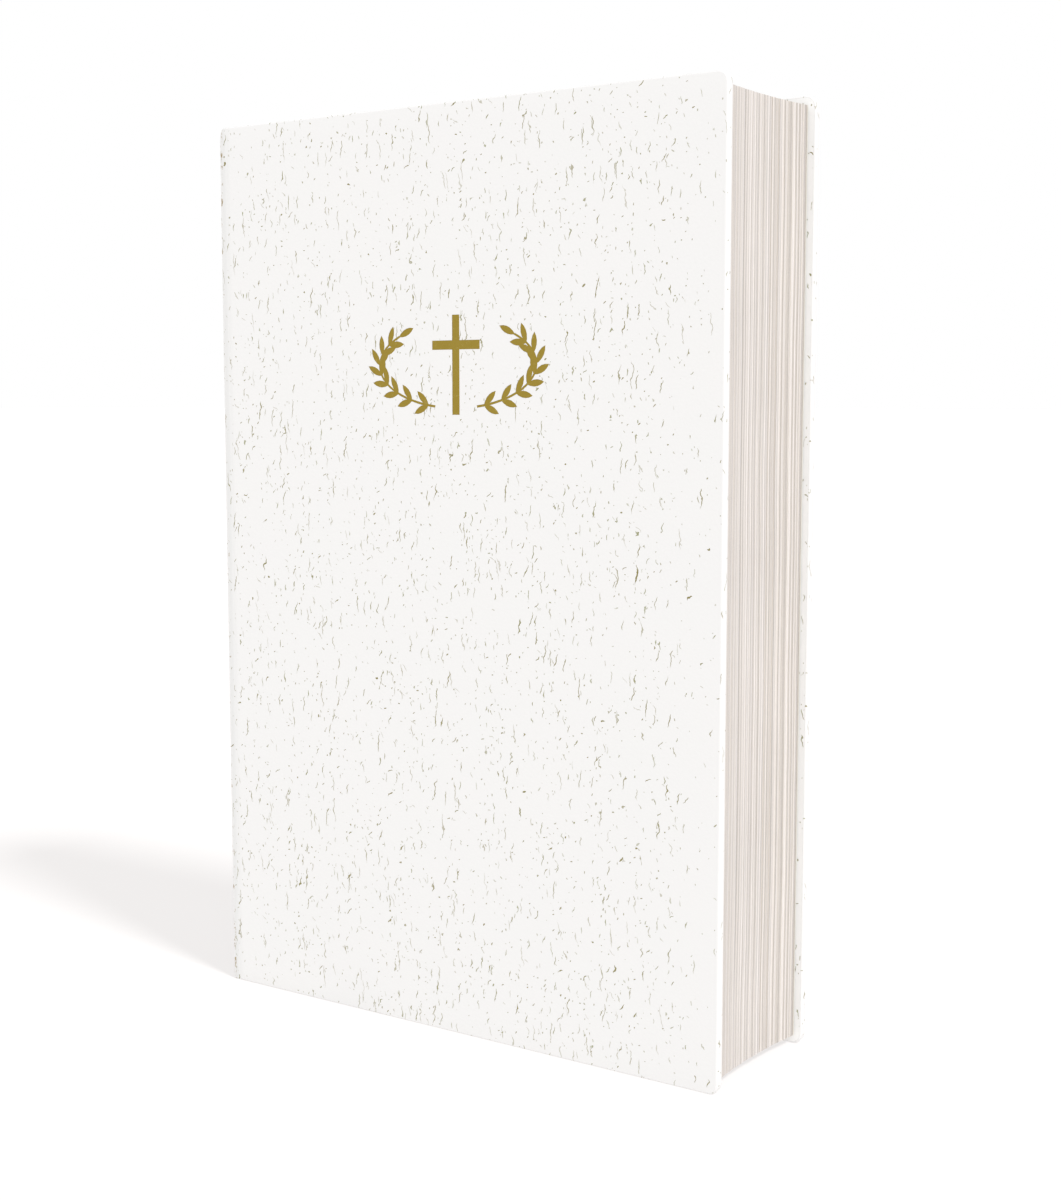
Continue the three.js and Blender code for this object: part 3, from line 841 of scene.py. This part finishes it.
def printed_columns(shader, axes):
    """Two columns of short grey bars, with no letters, where a page's small print would be."""
    middle = (FIRST_SIGNATURE[0].x + FORE_X) / 2
    aside = shader.math("ABSOLUTE", shader.math("SUBTRACT", axes[0], middle))
    aside = shader.math("ABSOLUTE", shader.math("SUBTRACT", aside, COLUMN_MIDDLE))
    column = shader.math("LESS_THAN", aside, COLUMN_HALF)
    centre = shader.math("ABSOLUTE", shader.math("SUBTRACT", axes[2], HEIGHT / 2))
    field = shader.math("MULTIPLY", column, shader.math("LESS_THAN", centre, PRINT_HALF))
    row = shader.math("DIVIDE", axes[2], LINE_PITCH)
    bar = shader.math("LESS_THAN", shader.math("FRACT", row), 0.42)
    number = shader.math("MULTIPLY", shader.math("FLOOR", row), 37.7)
    words = shader.node("CombineXYZ", {0: axes[0], 1: number, 2: shader.math("FLOOR", axes[1])})
    gaps = shader.math("GREATER_THAN", shader.noise(words.outputs[0], 0.9, 1.0), 0.42)
    return shader.math("MULTIPLY", shader.math("MULTIPLY", field, bar), gaps)


def paper_material(name, colour, dusty):
    """Endpaper or kraft: a flat colour with cloudy pulp and short fibres."""
    shader = Shader(name, roughness=0.8)
    place = shader.millimetres()
    pulp = shader.noise(place, 0.5, 4.0)
    fibres = shader.noise(shader.vector("MULTIPLY", place, (3.0, 3.0, 0.6)), 1.2, 3.0, 0.7)
    tone = shader.mix(pulp, rgb(*colour), rgb(*dusty))
    tone = shader.mix(shader.span(fibres, 0.62, 0.75, 0, 0.3), tone, rgb(*dusty))
    return shader.set(base_color=tone, normal=shader.bump(fibres, 0.015, 0.6))


def cloth_material(name, colour, shade, pitch):
    """Plain weave: threads over and under each other, as far apart as pitch."""
    shader = Shader(name, roughness=0.9)
    place = shader.millimetres()
    axes = shader.node("SeparateXYZ", {0: place}).outputs
    across = shader.math("ADD", axes[0], axes[1])
    waves = []
    for axis in (across, axes[2]):
        turn = shader.math("MULTIPLY", axis, math.pi / pitch)
        waves.append(shader.math("ABSOLUTE", shader.math("SINE", turn)))
    weave = shader.math("MULTIPLY", waves[0], waves[1])
    fuzz = shader.noise(place, 6.0, 3.0)
    tone = shader.mix(weave, rgb(*shade), rgb(*colour))
    tone = shader.mix(shader.math("MULTIPLY", fuzz, 0.3), tone, rgb(*shade))
    return shader.set(base_color=tone, normal=shader.bump(weave, 0.06))


def board_material():
    """Grey pulp board, with darker and lighter flecks."""
    shader = Shader("greyboard_pulp", roughness=0.9)
    place = shader.millimetres()
    flecks = shader.noise(place, 2.2, 5.0, 0.7)
    tone = shader.mix(shader.span(flecks, 0.35, 0.65), rgb(142, 136, 126), rgb(172, 166, 154))
    return shader.set(base_color=tone, normal=shader.bump(flecks, 0.04))


def foil_material():
    """Antique gold foil, hot-stamped: thin enough to take the leatherette's grain, with pale rubs."""
    shader = Shader("stamped_gold_foil", metallic=1.0)
    place = shader.millimetres()
    grain = shader.noise(place, 3.2, 3.0, 0.6)
    rubs = shader.noise(place, 0.9, 3.0, 0.65)
    gold = shader.mix(grain, rgb(150, 127, 46), rgb(168, 147, 72))
    gold = shader.mix(shader.span(rubs, 0.6, 0.75, 0, 0.5), gold, rgb(196, 182, 120))
    rough = shader.span(grain, 0.3, 0.7, 0.28, 0.45)
    return shader.set(base_color=gold, roughness=rough, normal=shader.bump(grain, 0.02, 0.7))


def floor_material():
    """White acrylic, lit mostly from underneath."""
    shader = Shader("back_lit_floor", roughness=0.7)
    shader.surface.inputs["Specular IOR Level"].default_value = 0.0
    cloud = shader.noise(shader.millimetres(), 0.004, 2.0)
    tone = shader.mix(cloud, (0.152, 0.15, 0.149, 1), (0.154, 0.152, 0.151, 1))
    shader.surface.inputs["Emission Color"].default_value = (0.721, 0.7025, 0.696, 1)
    shader.surface.inputs["Emission Strength"].default_value = 1.0
    return shader.set(base_color=tone)


# ---- The book --------------------------------------------------------------------------------------


def build_case(materials):
    skin = materials["leatherette"]
    spine = spine_skin(skin)
    stamp(spine, "foil_spine_cross", (-1, 0, 0), FOIL_GAP)
    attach(spine, "spine")
    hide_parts("spine_leatherette")
    for side in SIDES:
        piece = case_skin(side, skin)
        if side == "front":
            for node in ("foil_cross", "foil_sprig_left", "foil_sprig_right"):
                stamp(piece, node, (0, -1, 0), FOIL_GAP)
        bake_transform(piece)
        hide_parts(f"{side}_cover_leatherette")


def build_endpapers(materials, rng):
    for side in SIDES:
        pasted = pastedown(side, materials["endpaper"])
        free = flyleaf(side, materials["endpaper"], rng)
        for piece, body, node in (
            (pasted, f"{side}_cover", f"{side}_pastedown"),
            (free, f"{side}_flyleaf", f"{side}_flyleaf"),
        ):
            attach(piece, body)
            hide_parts(node)


def build_block(materials, rng):
    for index, node in enumerate(SIGNATURE_NODES):
        piece = signature(index, materials["bible_paper"], rng)
        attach(piece, "spine" if index == MIDDLE else node)
        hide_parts(node)


def follow_block(piece, side, slot, *nodes):
    """Half of something on the block's back, just outside the folds: its place is baked into its mesh and the CAD
    nodes it stands for are hidden; it stays where it is.
    """
    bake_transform(piece)
    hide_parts(*nodes)


def build_linings(materials):
    threads = [n for n in frame["nodes"] if n.startswith("sewing_thread_")]
    mull_low, mull_high = box_mm("spine_mull")
    for side in SIDES:
        mull = back_strip(
            "spine_mull", MULL_LAYER, mull_low.z, mull_high.z, materials["mull"], side
        )
        follow_block(mull, side, "mull", "spine_mull")
        kraft = back_strip(
            "spine_kraft", KRAFT_LAYER, BLOCK_LOW, BLOCK_HIGH, materials["kraft"], side
        )
        follow_block(kraft, side, "kraft", "spine_kraft_lining")
        sewn = sewing_threads(side, materials["linen"])
        follow_block(sewn, side, "linen", *threads)
        for node in ("headband", "tailband"):
            low, high = box_mm(node)
            band = endband(node, side, materials["linen"])
            follow_block(band, side, "linen", node)
            at_head = low.z > HEIGHT / 2
            tape_low, tape_high = (low.z, high.z - 1.2) if at_head else (low.z + 1.2, high.z)
            tape = back_strip(
                f"{node}_tape", TAPE_LAYER, tape_low, tape_high, materials["linen"], side
            )
            follow_block(tape, side, "linen", node)


def build_inlay(materials):
    """The card inside the case spine, a little lower than the leatherette's head all along."""
    low, high = box_mm("spine_inlay")
    whole = spine_outline()[-1][2]

    def top(y):
        run = whole / 2 - abs(y)
        return HEIGHT - cap_dip(run) - 0.8

    for side in SIDES:
        piece = back_strip(
            "spine_inlay", INLAY_LAYER, low.z, top, materials["greyboard"], side, high.y
        )
        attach(piece, "spine")
        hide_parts("spine_inlay")


def finish_cad_nodes(materials):
    """Procedural finishes for the CAD nodes that stay."""
    for name, node in frame["nodes"].items():
        if node.hide_render:
            continue
        slot = next(s["material_slot"] for s in frame["record"]["subparts"] if s["node"] == name)
        node.data.materials.clear()
        node.data.materials.append(materials[slot])


# ---- The studio ------------------------------------------------------------------------------------


def sun(name, strength, direction):
    """A soft sun that shines in a direction."""
    light = bpy.data.lights.new(name, "SUN")
    light.energy = strength
    light.angle = math.radians(10)
    lamp = bpy.data.objects.new(name, light)
    bpy.context.scene.collection.objects.link(lamp)
    lamp.rotation_euler = Vector(direction).to_track_quat("-Z", "Y").to_euler()
    return lamp


def build_studio():
    """A white room on a back-lit white floor. The floor has a key light of its own, which the book never
    catches, so that the shadow on the floor can be stronger than the shade on the book."""
    size = 30.0
    mesh = bpy.data.meshes.new("floor")
    corners = [(-size, -size, 0), (size, -size, 0), (size, size, 0), (-size, size, 0)]
    mesh.from_pydata(corners, [], [(0, 1, 2, 3)])
    mesh.materials.append(floor_material())
    floor = bpy.data.objects.new("floor", mesh)
    bpy.context.scene.collection.objects.link(floor)

    world = bpy.data.worlds.new("white_room")
    bpy.context.scene.world = world
    world.use_nodes = True
    world.node_tree.nodes["Background"].inputs["Color"].default_value = (1, 1, 1, 1)
    world.node_tree.nodes["Background"].inputs["Strength"].default_value = 1.0

    from_above = (-0.8, 0.2, -1)
    sun("key", 0.8, from_above)
    sun("fill", 0.3, (-0.7, 0.6, -0.3))
    floor_only = bpy.data.collections.new("floor_only")
    floor_only.objects.link(floor)
    sun("floor_key", 4.35, from_above).light_linking.receiver_collection = floor_only


def build_camera():
    data = bpy.data.cameras.new("camera")
    data.lens = 55.51
    data.sensor_width = 36.0
    camera = bpy.data.objects.new("camera", data)
    bpy.context.scene.collection.objects.link(camera)
    camera.location = (0.2540, -0.3487, 0.1447)
    turn, down = math.radians(35.15), math.radians(6.12)
    forward = Vector(
        (-math.sin(turn) * math.cos(down), math.cos(turn) * math.cos(down), -math.sin(down))
    )
    camera.rotation_euler = forward.to_track_quat("-Z", "Y").to_euler()
    bpy.context.scene.camera = camera
    bpy.context.scene.view_settings.view_transform = "Standard"


build_camera()
build_studio()
rng = random.Random(11)
materials = {
    "leatherette": leatherette_material(),
    "greyboard": board_material(),
    "endpaper": paper_material("endpaper_white", (249, 247, 241), (240, 237, 229)),
    "bible_paper": page_material(),
    "mull": cloth_material("mull_cloth", (236, 230, 212), (196, 188, 166), 0.55),
    "kraft": paper_material("kraft_paper", (186, 152, 108), (166, 132, 90)),
    "linen": cloth_material("waxed_linen", (241, 236, 222), (212, 204, 186), 0.3),
    "gold_foil": foil_material(),
}
build_case(materials)
build_inlay(materials)
build_endpapers(materials, rng)
build_block(materials, rng)
build_linings(materials)
finish_cad_nodes(materials)
